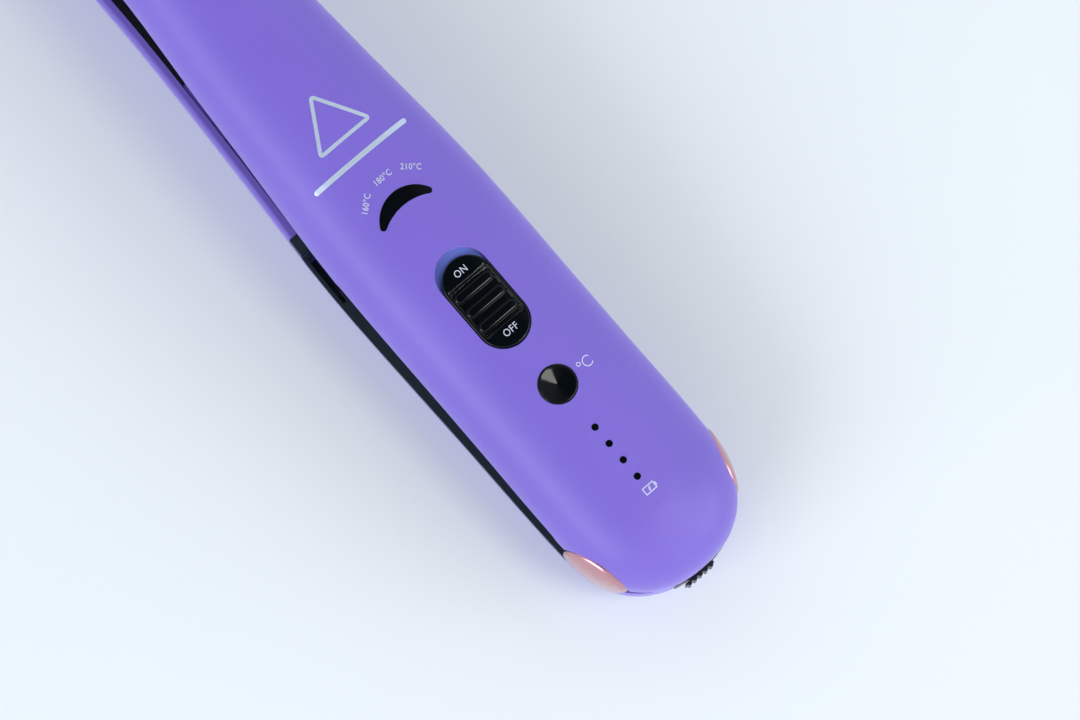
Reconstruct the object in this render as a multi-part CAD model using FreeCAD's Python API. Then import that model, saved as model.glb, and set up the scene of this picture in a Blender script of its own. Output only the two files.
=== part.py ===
import FreeCAD
import Part

import functools
import math
import os

# A cordless flat iron: a lower arm with the battery and the hinge, and an upper arm with the controls.
# Units are millimetres. +X points to the tip, +Y to the left-hand side, +Z up.
# Every piece is drawn with the arms closed and with the hinge axis as the local origin.
# At the end the upper arm is turned open about the hinge, and the whole iron is lifted onto its rest face.

# --- driving dimensions -------------------------------------------------------------------------

PIVOT_HEIGHT = 16.0        # hinge axis above the surface that the iron lies on
OPEN_ANGLE = 7.0           # degrees between the arms at rest

SIDE_POWER = 2.3           # exponent of the plan outline and of the upper arm's superellipse cross-section
BELLY_POWER = 2.8          # the lower arm's cross-section is squarer
LOWER_EXTRA = 0.45         # the lower arm is this much wider on each side
UPPER_REAR_POWER = 2.6     # roundness of each rear end, seen from the side
LOWER_REAR_POWER = 4.0
REAR_CENTRE = 8.0          # where the rounded rear end starts
UPPER_REAR_LENGTH = 21.6
LOWER_REAR_LENGTH = 21.2
TIP_CENTRE = 227.0         # where the rounded tip starts
TIP_LENGTH = 15.0

UPPER_WALL = 1.8
LOWER_WALL = 2.0
RIM = 0.4                  # each arm's rim stands this far from the middle plane
REAR_RIM = 2.0             # the lower rim behind the hinge is lower, so the arms can rock open
RIM_ROUND = 0.7
LOWER_RIM_ROUND = 0.9
FIT = 0.05                 # gap between pieces that are fixed to each other

CAP_RADIUS = 7.2
CAP_GAP = 0.35             # running gap between the upper casing and the hinge caps
CAP_PROUD = 0.6
PIN_RADIUS = 2.0
BUSH_RADIUS = 3.0
LUG_RADIUS = 6.0
EAR_RADIUS = 6.6
EAR_INNER = 11.4           # ears of the lower arm, along Y
EAR_OUTER = 13.0
LUG_INNER = 8.9            # lugs of the upper arm, along Y
LUG_OUTER = 11.0

LEDGE = 3.2                # dark side ledge of the lower arm, below the middle plane
SKIRT_BOTTOM = 6.6
WELL_START = 77.4
WELL_END = 88.7
WELL_FLOOR = 8.0
WELL_SKIN = 0.8            # thickness of the skirt beside the well
TAB_LENGTH = 4.1           # dark tab in front of the well
WINDOW_EDGE = 2.0          # raised lower edge of the upper casing along the grip
WINDOW_REAR = 8.0
WINDOW_FRONT = 80.0

CELL_RADIUS = 9.2          # 18650 cell
CELL_LENGTH = 65.0
CELL_START = 11.2
CELL_Z = -4.8
HUMP_WALL = 1.0            # the hump is the lower arm's cover over the cell
HUMP_GAP = 0.25
HUMP_RADIUS = CELL_RADIUS + HUMP_GAP + HUMP_WALL
HUMP_START = 9.2
HUMP_END = 78.4
TRAY_GAP = 0.8             # the tray is the upper arm's cover over the hump
TRAY_RADIUS = HUMP_RADIUS + TRAY_GAP
TRAY_SKIN = 1.0
TRAY_START = 9.6
FLANGE = (2.3, 3.5)        # flat plates of the inner shells, as distances from the middle plane
NECK_PLATE = (0.9, 2.1)
REAR_PLATE = (7.0, 7.8)
REAR_PLATE_HALF_WIDTH = 12.5

PLATE_START = 136.0
PLATE_LENGTH = 90.0
PLATE_HALF_WIDTH = 11.25
PLATE_FACE = 0.15          # plate face from the middle plane
PLATE_THICKNESS = 2.15
PLATE_FLOAT = 0.8
FRAME_LIP = 0.15
FRAME_START = 132.2
FRAME_END = 241.0
FRAME_DEPTH = 2.3
HEATER_X = (141.0, 221.0)
HEATER_Z = (2.4, 3.6)
HEATER_HALF_WIDTH = 6.0
CARRIER_X = (137.0, 225.0)
CARRIER_Z = (3.7, 5.0)
CARRIER_HALF_WIDTH = 9.8
STOP_POSTS = [(150, 5.0), (150, -5.0), (212, 5.0), (212, -5.0)]
STOP_RADIUS = 1.8
STOP_TOP = 7.2

SCREW_HEAD_RADIUS = 1.9
SCREW_SHANK_RADIUS = 0.98
SCREW_HEAD = 1.0
SCREW_SUNK = 0.1
BOSS_RADIUS = 2.3
UPPER_SCREWS = [(104, 8.0), (104, -8.0), (127, 0.0)]
LOWER_SCREWS = [(112, 8.0, NECK_PLATE[0]), (112, -8.0, NECK_PLATE[0]),       # the third value is the depth of
                (72, 14.0, LEDGE), (72, -14.0, LEDGE),                       # the head below the middle plane
                (20, 14.0, LEDGE), (20, -14.0, LEDGE)]

SWITCH_X = 56.1
SWITCH_RECESS = (23.6, 11.6)
SWITCH_FLOOR = 12.4
KNOB_SIZE = (21.4, 11.2)
BUTTON_X = 33.3
BUTTON_RADIUS = 4.0
LIGHT_X = 9.06             # rearmost battery light
LIGHT_PITCH = 4.3
LIGHT_COUNT = 4
LIGHT_RADIUS = 0.75
CRESCENT_TIP = (79.6, 6.0)
CRESCENT_TIP_RADIUS = 0.7
CRESCENT_FRONT = 83.9
CRESCENT_REAR = 80.5

BOARD_BOTTOM = 8.0
BOARD_TOP = 9.0

LOCK_HALF_WIDTH = 6.4
LOCK_BOTTOM = 6.2
LOCK_KNOB_WIDTH = 7.4
LOCK_TRAVEL = 3.0
LOCK_RIBS = 5
LOCK_RIB_PITCH = 1.44
LOCK_RIB_RADIUS = 0.45
LOCK_MIDDLE = -0.6         # middle of the lock's travel, along Y
LOCK_FACE = 13.6           # flat back of the lock knob, behind the hinge axis
LOCK_PLATE = 0.45          # thickness of the lock knob without its ribs
TRACK_PROUD = 0.3
TRACK_FRONT = 11.9         # inner face of the lock track, behind the hinge axis

PORT_Z = -9.0
PORT_SIZE = (8.9, 3.2)
PORT_DEPTH = 6.6
PORT_MOUTH = -12.2

# Plan half-width, crown height and belly depth along the iron, as points of smooth curves.
HALF_WIDTH_POINTS = [(8, 19.1), (58, 19.1), (78, 18.9), (94, 18.0), (108, 16.95), (124, 15.9), (146, 14.8),
                     (180, 14.3), (227, 14.1)]
UPPER_TAPER_POINTS = [(124, 0.0), (146, 0.65), (227, 0.55)]      # how much narrower the upper arm is, each side
CROWN_POINTS = [(8, 14.0), (62, 14.0), (98, 13.4), (122, 12.6), (146, 12.1), (180, 11.8), (227, 11.6)]
BELLY_POINTS = [(8, 17.0), (124, 17.0), (150, 15.6), (180, 14.6), (227, 13.8)]

MID_STATIONS = [8, 30, 60, 80, 96, 110, 126, 146, 174, 204, 227]
END_ANGLES = [20, 38, 54, 67, 77, 84, 87.4]
CROWN_TOP = 20.0           # above every part of the upper arm
CAP_STATIONS = [-11.5, -9.5, -7.5, -5.0, -2.0, 2.0, 5.0, 8.0, 12.0]
ARC_STEPS = 12
UP = 1
DOWN = -1


# --- small helpers ------------------------------------------------------------------------------

def vec(x, y, z):
    return FreeCAD.Vector(x, y, z)


def box(x0, x1, y0, y1, z0, z1):
    return Part.makeBox(x1 - x0, y1 - y0, z1 - z0, vec(x0, y0, z0))


def rod_y(radius, y0, y1, x=0.0, z=0.0):
    return Part.makeCylinder(radius, y1 - y0, vec(x, y0, z), vec(0, 1, 0))


def rod_x(radius, x0, x1, y=0.0, z=0.0):
    return Part.makeCylinder(radius, x1 - x0, vec(x0, y, z), vec(1, 0, 0))


def rod_z(radius, z0, z1, x=0.0, y=0.0):
    return Part.makeCylinder(radius, z1 - z0, vec(x, y, z0), vec(0, 0, 1))


def fuse(shapes):
    return shapes[0].fuse(shapes[1:]).removeSplitter()


def mirrored(shape):
    return shape.mirror(vec(0, 0, 0), vec(0, 1, 0))


def both_sides(shape):
    return [shape, mirrored(shape)]


def group(shapes):
    return Part.makeCompound(shapes)


def stadium(length, width, z0, z1, x, y=0.0):
    """An upright prism with two half-round ends, long along X."""
    half = (length - width) / 2
    radius = width / 2
    straight = box(x - half, x + half, y - radius, y + radius, z0, z1)
    return fuse([straight, rod_z(radius, z0, z1, x - half, y), rod_z(radius, z0, z1, x + half, y)])


def prism_along_y(wire, reach=40.0):
    face = Part.Face(wire)
    face.translate(vec(0, -reach, 0))
    return face.extrude(vec(0, 2 * reach, 0))


def smooth_through(points):
    """A curve through the points whose slope changes smoothly and that never overshoots them."""
    xs = [float(p[0]) for p in points]
    ys = [float(p[1]) for p in points]
    steps = [xs[i + 1] - xs[i] for i in range(len(xs) - 1)]
    slopes = [(ys[i + 1] - ys[i]) / steps[i] for i in range(len(steps))]
    tangents = [0.0]
    for i in range(1, len(slopes)):
        before, after = slopes[i - 1], slopes[i]
        tangents.append(2 * before * after / (before + after) if before * after > 0 else 0.0)
    tangents.append(0.0)

    def value(x):
        if x <= xs[0]:
            return ys[0]
        if x >= xs[-1]:
            return ys[-1]
        i = max(k for k in range(len(steps)) if xs[k] <= x)
        t = (x - xs[i]) / steps[i]
        rise = ys[i + 1] - ys[i]
        shape = rise * (3 * t**2 - 2 * t**3)
        start = tangents[i] * steps[i] * (t**3 - 2 * t**2 + t)
        end = tangents[i + 1] * steps[i] * (t**3 - t**2)
        return ys[i] + shape + start + end

    return value


half_width_at = smooth_through(HALF_WIDTH_POINTS)
upper_taper_at = smooth_through(UPPER_TAPER_POINTS)
crown_at = smooth_through(CROWN_POINTS)
belly_at = smooth_through(BELLY_POINTS)


# --- the outer form of each arm -------------------------------------------------------------------

def end_factor(x, rear_length, tip_length, power):
    """1 along the iron, falling to 0 at its rounded ends."""
    if x < REAR_CENTRE:
        share = (REAR_CENTRE - x) / rear_length
    elif x > TIP_CENTRE:
        share = (x - TIP_CENTRE) / tip_length
    else:
        return 1.0
    return (1 - min(share, 1.0) ** power) ** (1 / power)


def smooth_arch(points, side):
    """Curve through an arch's points that leaves both feet upright."""
    curve = Part.BSplineCurve()
    count = len(points) - 1
    places = [index / count for index in range(count + 1)]
    upright = vec(0, 0, side * 1.1 * count * abs(points[1].z - points[0].z))
    curve.interpolate(Points=points, Parameters=places, InitialTangent=upright, FinalTangent=upright * -1,
                      Scale=False)
    return curve.toShape()


def corner(start, start_direction, end, end_direction, radius):
    """Quarter-round corner between two points; both directions point away from the curve's inside."""
    pull = 0.5523 * radius
    curve = Part.BezierCurve()
    curve.setPoles([start, start + start_direction * pull, end + end_direction * pull, end])
    return curve.toShape()


def unit_arch(side):
    """Points of one arm's arch, as shares of its half-width and height."""
    power = SIDE_POWER if side == UP else BELLY_POWER
    shares = []
    for step in range(ARC_STEPS + 1):
        angle = math.pi * step / ARC_STEPS
        across = math.copysign(abs(math.cos(angle)) ** (2 / power), math.cos(angle))
        shares.append((across, abs(math.sin(angle)) ** (2 / power)))
    return shares


def section(x, half_width, height, rim, foot, side, rounding):
    """Closed cross-section of one arm: an arch over the rim, with rounded rim corners or straight legs."""
    base = rim + rounding
    points = [vec(x, half_width * across, side * (base + (height - rounding) * upward))
              for across, upward in unit_arch(side)]
    points[0] = vec(x, half_width, side * base)
    points[-1] = vec(x, -half_width, side * base)
    edges = [smooth_arch(points, side)]
    if rounding > 0:
        left = vec(x, rounding - half_width, side * rim)
        right = vec(x, half_width - rounding, side * rim)
        edges.append(corner(points[-1], vec(0, 0, -side), left, vec(0, -1, 0), rounding))
        edges.append(Part.makeLine(left, right))
        edges.append(corner(right, vec(0, 1, 0), points[0], vec(0, 0, -side), rounding))
    elif foot != rim:
        left = vec(x, -half_width, side * foot)
        right = vec(x, half_width, side * foot)
        edges.append(Part.makeLine(points[-1], left))
        edges.append(Part.makeLine(left, right))
        edges.append(Part.makeLine(right, points[0]))
    else:
        edges.append(Part.makeLine(points[-1], points[0]))
    return Part.Wire(edges)


@functools.lru_cache(maxsize=None)
def arm_form(side, inset=0.0, foot=RIM, rounding=0.0):
    """Solid form of one arm, inset all round by the given distance."""
    rim = RIM
    rear = (UPPER_REAR_LENGTH if side == UP else LOWER_REAR_LENGTH) - inset
    tip = TIP_LENGTH - inset
    stations = [REAR_CENTRE - rear * math.sin(math.radians(a)) for a in reversed(END_ANGLES)]
    stations += MID_STATIONS
    stations += [TIP_CENTRE + tip * math.sin(math.radians(a)) for a in END_ANGLES]
    height_at = crown_at if side == UP else belly_at
    rear_power = UPPER_REAR_POWER if side == UP else LOWER_REAR_POWER
    wires = []
    for x in stations:
        across = end_factor(x, rear, tip, SIDE_POWER)
        upward = end_factor(x, rear, tip, rear_power if x < REAR_CENTRE else SIDE_POWER)
        extra = -upper_taper_at(x) if side == UP else LOWER_EXTRA
        half_width = (half_width_at(x) + extra - inset) * across
        height = (height_at(x) - inset - rim) * upward
        wires.append(section(x, half_width, height, rim, foot, side, rounding * min(across, upward)))
    return Part.makeLoft(wires, True, False)


def window_edge(rear, front, low, high, ramp):
    """Side outline of the raised edge: low, up over a soft S-shaped ramp, along, and down again."""
    def ramp_edge(x0, z0, x1, z1):
        middle = (x0 + x1) / 2
        curve = Part.BezierCurve()
        curve.setPoles([vec(x0, 0, z0), vec(middle, 0, z0), vec(middle, 0, z1), vec(x1, 0, z1)])
        return curve.toShape()

    below = -low - 6.0
    edges = [
        ramp_edge(rear, low, rear + ramp, high),
        Part.makeLine(vec(rear + ramp, 0, high), vec(front - ramp, 0, high)),
        ramp_edge(front - ramp, high, front, low),
        Part.makeLine(vec(front, 0, low), vec(front, 0, below)),
        Part.makeLine(vec(front, 0, below), vec(rear, 0, below)),
        Part.makeLine(vec(rear, 0, below), vec(rear, 0, low)),
    ]
    return Part.Wire(edges)


# --- upper arm --------------------------------------------------------------------------------------

def crescent(margin=0.0):
    """Crescent outline: two arcs that meet in small round tips."""
    tip_x, tip_y = CRESCENT_TIP
    tip_radius = CRESCENT_TIP_RADIUS - margin
    front = CRESCENT_FRONT - margin
    rear = CRESCENT_REAR + margin
    reach = front - tip_x
    outer = (reach**2 + tip_y**2 - tip_radius**2) / (2 * (reach - tip_radius))
    depth = rear - tip_x
    inner = (tip_y**2 + depth**2 - tip_radius**2) / (2 * (depth + tip_radius))
    outer_centre = front - outer
    inner_centre = rear - inner

    def toward(centre, radius):
        direction = vec(tip_x - centre, tip_y, 0).normalize()
        return vec(centre, 0, 0) + direction * radius

    outer_end = toward(outer_centre, outer)
    inner_end = toward(inner_centre, inner)
    past_tip = vec(-1.0, 0.6, 0).normalize()
    tip_outer = vec(tip_x, tip_y, 0) + past_tip * tip_radius

    def flipped(point):
        return vec(point.x, -point.y, 0)

    edges = [
        Part.Arc(flipped(outer_end), vec(front, 0, 0), outer_end).toShape(),
        Part.Arc(outer_end, tip_outer, inner_end).toShape(),
        Part.Arc(inner_end, vec(rear, 0, 0), flipped(inner_end)).toShape(),
        Part.Arc(flipped(inner_end), flipped(tip_outer), flipped(outer_end)).toShape(),
    ]
    return Part.Face(Part.Wire(edges))


def crescent_prism(z0, z1, margin=0.0):
    face = crescent(margin)
    face.translate(vec(0, 0, z0))
    return face.extrude(vec(0, 0, z1 - z0))


def upper_shell():
    outer = arm_form(UP, rounding=RIM_ROUND)
    cavity = arm_form(UP, UPPER_WALL, foot=-1.0)
    length, width = SWITCH_RECESS
    mid_wall = arm_form(UP, UPPER_WALL / 2, foot=0.0)
    inner_features = [stadium(length + 3.0, width + 3.0, SWITCH_FLOOR - 1.4, CROWN_TOP, SWITCH_X)]
    inner_features += [rod_z(BOSS_RADIUS, 2.15, CROWN_TOP, x, y) for x, y in UPPER_SCREWS]
    inner_features += [rod_z(STOP_RADIUS, STOP_TOP, CROWN_TOP, x, y) for x, y in STOP_POSTS]
    shell = outer.cut(cavity).fuse([feature.common(mid_wall) for feature in inner_features])
    cuts = [
        stadium(length, width, SWITCH_FLOOR, CROWN_TOP, SWITCH_X),
        box(SWITCH_X - 4.0, SWITCH_X + 6.0, -2.0, 2.0, 5.0, CROWN_TOP),
        rod_z(BUTTON_RADIUS + 0.15, 5.0, CROWN_TOP, BUTTON_X),
        crescent_prism(5.0, CROWN_TOP),
        prism_along_y(window_edge(WINDOW_REAR, WINDOW_FRONT, RIM, WINDOW_EDGE, 4.0)),
        rod_y(CAP_RADIUS + CAP_GAP, -30, 30),
    ]
    cuts += [rod_z(LIGHT_RADIUS, 5.0, CROWN_TOP, x) for x in light_places()]
    cuts += [rod_z(1.0, 2.0, 9.5, x, y) for x, y in UPPER_SCREWS]
    return shell.cut(cuts)


def light_places():
    return [LIGHT_X + LIGHT_PITCH * n for n in range(LIGHT_COUNT)]


def arch(radius, x0, x1, floor):
    """Solid half-round over the battery, cut off below the floor."""
    return rod_x(radius, x0, x1, 0, CELL_Z).common(box(x0, x1, -30, 30, floor, 30))


def upper_inner_shell():
    space = arm_form(UP, UPPER_WALL + 0.05, foot=0.0)
    arch_start = TRAY_START
    arch_end = HUMP_END + 1.2
    plates = [
        arch(TRAY_RADIUS + TRAY_SKIN, arch_start, arch_end + TRAY_SKIN, FLANGE[0]),
        box(arch_start, WELL_END, -30, 30, *FLANGE),
        box(WELL_END - 1.2, WELL_END, -30, 30, NECK_PLATE[0], FLANGE[1]),
        box(WELL_END - 1.2, FRAME_START - 0.1, -30, 30, *NECK_PLATE),
        box(arch_start, arch_start + 1.0, -30, 30, FLANGE[0], REAR_PLATE[1]),
        box(-9.0, arch_start + 1.0, -REAR_PLATE_HALF_WIDTH, REAR_PLATE_HALF_WIDTH, *REAR_PLATE),
    ]
    tray = fuse([plate.common(space) for plate in plates])
    tray = tray.cut(arch(TRAY_RADIUS, arch_start - 1.0, arch_end, FLANGE[0] - 1.0))
    lug = fuse([rod_y(LUG_RADIUS, LUG_INNER, LUG_OUTER),
                box(-5.0, 5.0, LUG_INNER, LUG_OUTER, 0.0, REAR_PLATE[1] - 0.4)])
    posts = [rod_z(1.5, 2.5, BOARD_BOTTOM, x, y) for x in (20.0, 85.0) for y in (-8.5, 8.5)]
    posts = [post.cut(arch(TRAY_RADIUS, arch_start, arch_end, 0)) for post in posts]
    whole = fuse([tray] + both_sides(lug) + posts)
    holes = [rod_y(BUSH_RADIUS, -20, 20)]
    holes += [countersink(x, y, NECK_PLATE[0] + SCREW_SUNK, UP) for x, y in UPPER_SCREWS]
    return whole.cut(holes)


def countersink(x, y, z, side, gap=0.04):
    """Space for one countersunk screw that goes in from height z, upward or downward."""
    head = Part.makeCone(SCREW_HEAD_RADIUS + gap, SCREW_SHANK_RADIUS + gap, SCREW_HEAD, vec(x, y, z),
                         vec(0, 0, side))
    mouth = Part.makeCylinder(SCREW_HEAD_RADIUS + gap, 1.0, vec(x, y, z), vec(0, 0, -side))
    shank = Part.makeCylinder(SCREW_SHANK_RADIUS + gap, 3.0, vec(x, y, z), vec(0, 0, side))
    return fuse([head, mouth, shank])


def screw(x, y, z, side, length=6.0):
    """Countersunk screw with a cross recess, its head level with height z."""
    head = Part.makeCone(SCREW_HEAD_RADIUS, SCREW_SHANK_RADIUS, SCREW_HEAD, vec(x, y, z), vec(0, 0, side))
    shank = Part.makeCylinder(SCREW_SHANK_RADIUS, length, vec(x, y, z), vec(0, 0, side))
    low, high = sorted((z - side * 0.2, z + side * 0.7))
    cross = fuse([box(x - 1.1, x + 1.1, y - 0.2, y + 0.2, low, high),
                  box(x - 0.2, x + 0.2, y - 1.1, y + 1.1, low, high)])
    return fuse([head, shank]).cut(cross)


def plate(side):
    """Heated plate with rounded long edges, facing the other arm."""
    near, far = sorted((side * PLATE_FACE, side * (PLATE_FACE + PLATE_THICKNESS)))
    slab = box(PLATE_START, PLATE_START + PLATE_LENGTH, -PLATE_HALF_WIDTH, PLATE_HALF_WIDTH, near, far)
    face = side * PLATE_FACE
    rounded = [e for e in slab.Edges if abs(e.BoundBox.ZMin - face) < 1e-6 and e.BoundBox.ZLength < 1e-6]
    return slab.makeFillet(0.8, rounded)


def plate_frame(side):
    """Black frame that fills the rim round the plate and the space in front of it."""
    wall = UPPER_WALL if side == UP else LOWER_WALL
    inside = arm_form(side, wall + 0.05)
    near, far = sorted((side * (RIM - 0.02), side * FRAME_DEPTH))
    slab = box(FRAME_START, FRAME_END, -30, 30, near, far).common(inside)
    gap = FRAME_LIP
    hole = box(PLATE_START - gap, PLATE_START + PLATE_LENGTH + gap,
               -PLATE_HALF_WIDTH - gap, PLATE_HALF_WIDTH + gap, -9, 9)
    return slab.cut(hole)


def layer(side, x0, x1, half_width, z_range):
    low, high = sorted((side * z_range[0], side * z_range[1]))
    return box(x0, x1, -half_width, half_width, low, high)


def heater(side):
    return layer(side, HEATER_X[0], HEATER_X[1], HEATER_HALF_WIDTH, HEATER_Z)


def insulator(side):
    slab = layer(side, CARRIER_X[0], CARRIER_X[1], CARRIER_HALF_WIDTH, CARRIER_Z)
    foot_z = (HEATER_Z[0] - 0.05, CARRIER_Z[1])
    rear = layer(side, CARRIER_X[0], HEATER_X[0] - 0.5, CARRIER_HALF_WIDTH, foot_z)
    front = layer(side, HEATER_X[1] + 0.5, CARRIER_X[1], CARRIER_HALF_WIDTH, foot_z)
    return fuse([slab, rear, front])


def plate_stops():
    bottom = CARRIER_Z[1] + PLATE_FLOAT + 0.1
    return group([rod_z(STOP_RADIUS, bottom, STOP_TOP, x, y) for x, y in STOP_POSTS])


def hinge_bushes():
    ring = rod_y(BUSH_RADIUS, LUG_INNER - 0.2, LUG_OUTER + 0.2)
    ring = ring.cut(rod_y(PIN_RADIUS + 0.04, 0, 20))
    return group(both_sides(ring))


def control_board():
    board = box(6.5, 92.0, -10.0, 10.0, BOARD_BOTTOM, BOARD_TOP)
    corners = [e for e in board.Edges if e.BoundBox.ZLength > 0.5]
    return board.makeFillet(1.5, corners)


def slide_switch():
    body = box(SWITCH_X - 4.5, SWITCH_X + 6.5, -3.0, 3.0, BOARD_TOP, BOARD_TOP + 1.5)
    slot = box(SWITCH_X - 3.2, SWITCH_X + 5.2, -1.2, 1.2, BOARD_TOP + 0.4, BOARD_TOP + 2.0)
    return body.cut(slot)


def power_slider():
    """Slider knob with three grip bars across it and a stem down into the slide switch."""
    length, width = KNOB_SIZE
    centre = SWITCH_X - 0.9
    skin = arm_form(UP, -0.1)
    knob = stadium(length, width, SWITCH_FLOOR + 0.1, CROWN_TOP, centre).common(skin)
    dish = box(centre - 5.6, centre + 5.6, -4.9, 4.9, 13.2, CROWN_TOP)
    bars = [rod_y(0.75, -4.8, 4.8, centre + offset, 13.35) for offset in (-3.9, 0.0, 3.9)]
    stem = box(SWITCH_X - 2.6, SWITCH_X + 2.4, -1.7, 1.7, BOARD_TOP + 1.7, SWITCH_FLOOR + 0.4)
    toe = box(SWITCH_X - 2.0, SWITCH_X + 1.6, -0.9, 0.9, BOARD_TOP + 0.7, BOARD_TOP + 2.0)
    return fuse([knob.cut(dish), stem, toe] + bars)


def temp_button():
    """Round button with a hollow conical face, held from inside by a flange."""
    top = crown_at(BUTTON_X) + 0.1
    body = rod_z(BUTTON_RADIUS, 10.9, top, BUTTON_X)
    body = body.makeFillet(0.25, [e for e in body.Edges if e.BoundBox.ZMin > top - 1e-3])
    dish = Part.makeCone(0.0, BUTTON_RADIUS - 0.5, 0.7, vec(BUTTON_X, 0, top - 0.7), vec(0, 0, 1))
    flange = rod_z(BUTTON_RADIUS + 0.9, 10.9, 11.7, BUTTON_X)
    return fuse([body.cut(dish), flange])


def tactile_switch():
    case = box(BUTTON_X - 2.25, BUTTON_X + 2.25, -2.25, 2.25, BOARD_TOP, BOARD_TOP + 0.8)
    return fuse([case, rod_z(1.0, BOARD_TOP, BOARD_TOP + 1.2, BUTTON_X)])


def temperature_window():
    outer = arm_form(UP, 0.02)
    pane = crescent_prism(5.0, CROWN_TOP, 0.05).common(outer)
    return pane.cut(arm_form(UP, UPPER_WALL, foot=0.0))


def lamp(x, y=0.0):
    return box(x - 0.8, x + 0.8, y - 0.5, y + 0.5, BOARD_TOP, BOARD_TOP + 0.7)


def temperature_leds():
    return group([lamp(80.5, -4.5), lamp(81.8, 0.0), lamp(80.5, 4.5)])


def battery_light_pipes():
    outer = arm_form(UP, -0.03)
    pins = []
    for x in light_places():
        pins.append(rod_z(LIGHT_RADIUS - 0.03, 11.2, CROWN_TOP, x).common(outer))
    return group(pins)


def battery_leds():
    return group([lamp(x) for x in light_places()])


def thermal_fuse():
    return rod_x(1.1, 176.0, 184.0, 0.0, 6.3)


def lead(points, radius, bend):
    """A round lead along straight runs joined by arcs."""
    points = [vec(*p) for p in points]
    edges = []
    start = points[0]
    for before, corner, after in zip(points, points[1:], points[2:]):
        into = (corner - before).normalize()
        out = (after - corner).normalize()
        turn = into.getAngle(out)
        cut = bend * math.tan(turn / 2)
        first = corner - into * cut
        last = corner + out * cut
        bisector = (out - into).normalize()
        centre = corner + bisector * (bend / math.cos(turn / 2))
        middle = centre - bisector * bend
        edges.append(Part.LineSegment(start, first).toShape())
        edges.append(Part.Arc(first, middle, last).toShape())
        start = last
    edges.append(Part.LineSegment(start, points[-1]).toShape())
    path = Part.Wire(edges)
    direction = points[1] - points[0]
    profile = Part.Wire([Part.Circle(points[0], direction, radius).toShape()])
    return path.makePipeShell([profile], True, False)


def upper_wires():
    leads = []
    for y in (-3.0, 3.0):
        leads.append(lead([(90.0, y, 7.2), (112.0, y, 7.2), (130.0, y, 8.6), (146.0, y, 8.6)], 0.6, 6.0))
    return group(leads)


# --- lower arm --------------------------------------------------------------------------------------

def skirt_outline(gap=0.0):
    """Side outline of the dark skirt along the grip, with its step and tab at the front."""
    top = 3.0
    round_off = 2.4
    low = -SKIRT_BOTTOM + gap
    front = WELL_END - 0.8 - gap
    tab_front = WELL_END + TAB_LENGTH - gap
    tab_low = -2.9 + gap
    slant = WELL_END + 0.3 - gap
    corner = vec(front - round_off * 0.29, 0, low + round_off * 0.29)
    return Part.Wire([
        Part.makeLine(vec(0, 0, top), vec(0, 0, low)),
        Part.makeLine(vec(0, 0, low), vec(front - round_off, 0, low)),
        Part.Arc(vec(front - round_off, 0, low), corner, vec(front, 0, low + round_off)).toShape(),
        Part.makeLine(vec(front, 0, low + round_off), vec(slant, 0, tab_low)),
        Part.makeLine(vec(slant, 0, tab_low), vec(tab_front, 0, tab_low)),
        Part.makeLine(vec(tab_front, 0, tab_low), vec(tab_front, 0, top)),
        Part.makeLine(vec(tab_front, 0, top), vec(0, 0, top)),
    ])


def port_hole(margin, x0, x1):
    width, height = PORT_SIZE
    width += 2 * margin
    height += 2 * margin
    half = (width - height) / 2
    slot = fuse([box(x0, x1, -half, half, PORT_Z - height / 2, PORT_Z + height / 2),
                 rod_x(height / 2, x0, x1, -half, PORT_Z), rod_x(height / 2, x0, x1, half, PORT_Z)])
    return slot


def lower_form():
    return arm_form(DOWN).common(box(-30, 260, -40, 40, -PIVOT_HEIGHT, 5))


def lower_shell():
    outer = arm_form(DOWN, rounding=LOWER_RIM_ROUND)
    outer = outer.common(box(-30, 260, -40, 40, -PIVOT_HEIGHT, 5))
    cavity = arm_form(DOWN, LOWER_WALL, foot=-1.0)
    shell = outer.cut(cavity)
    mid_wall = arm_form(DOWN, LOWER_WALL / 2, foot=0.0)
    posts = [rod_z(BOSS_RADIUS, -20.0, -z - 1.25, x, y).common(mid_wall) for x, y, z in LOWER_SCREWS]
    shell = shell.fuse(posts)
    cuts = [
        box(-30, -9.0, -LOCK_HALF_WIDTH - FIT, LOCK_HALF_WIDTH + FIT, -LOCK_BOTTOM - FIT, 5),
        box(-30, 0, -40, 40, -REAR_RIM, 5),
        rod_y(CAP_RADIUS + FIT, 12.0, 30),
        rod_y(CAP_RADIUS + FIT, -30, -12.0),
        prism_along_y(skirt_outline()),
        port_hole(0.35, -30, -9.0),
    ]
    cuts += [rod_z(1.0, -z - 7.0, -z, x, y) for x, y, z in LOWER_SCREWS]
    for cut in cuts:
        shell = shell.cut(cut)
    return shell


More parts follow.
